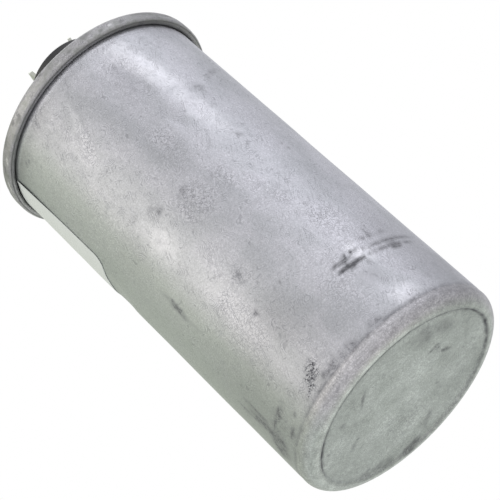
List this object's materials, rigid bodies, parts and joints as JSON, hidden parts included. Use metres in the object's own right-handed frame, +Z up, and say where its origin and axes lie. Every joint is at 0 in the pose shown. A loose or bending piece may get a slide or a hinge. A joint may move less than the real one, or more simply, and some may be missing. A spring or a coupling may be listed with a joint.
{
  "type": "motor run capacitor",
  "caption": "Round metal-cased motor run capacitor: drawn can with a double-seamed cover, black cup insulator, double push-on tabs and an oil-filled film winding inside.",
  "frame": {"origin": "centre of the ring that the can stands on, in the plane it stands on", "axes": "+Z runs up the can's axis from the base to the terminals; the two terminals lie along Y, the front one at -Y; the tabs of each face +X and -X"},
  "size_m": [0.0542, 0.0542, 0.1138],
  "materials": {
    "can": "drawn, matt, handled and scuffed",
    "cover": "drawn, rolled seam",
    "seam_compound": "cured sealing compound",
    "label": "bare satin label",
    "terminal_insulator": "moulded, black",
    "inner_insulator": "moulded, ivory",
    "gasket": "soft rubber",
    "terminal": "tin plated",
    "rivet": "tin plated",
    "washer": "plated",
    "lug": "bare",
    "lead": "tinned strip",
    "sleeve": "pressboard",
    "moulding": "natural polypropylene",
    "zinc": "sprayed zinc",
    "film": "metallised film",
    "wrap": "clear film wrap",
    "core": "extruded tube"
  },
  "bodies": {
    "root": {"can": "can", "cover": "cover", "seam_compound": "seam_compound", "label": "label", "terminal_insulator": "terminal_insulator", "inner_insulator": "inner_insulator", "gasket_front": "gasket", "gasket_back": "gasket", "terminal_front": "terminal", "terminal_back": "terminal", "rivet_front": "rivet", "rivet_back": "rivet", "washer_front": "washer", "washer_back": "washer", "lug_front": "lug", "lug_back": "lug", "top_lead": "lead", "bottom_lead": "lead", "lead_sleeve": "sleeve", "top_spacer": "moulding", "end_spray_top": "zinc", "end_spray_bottom": "zinc", "film_winding": "film", "outer_wrap": "wrap", "winding_core": "core", "bottom_insulator": "moulding"}
  },
  "joints": []
}
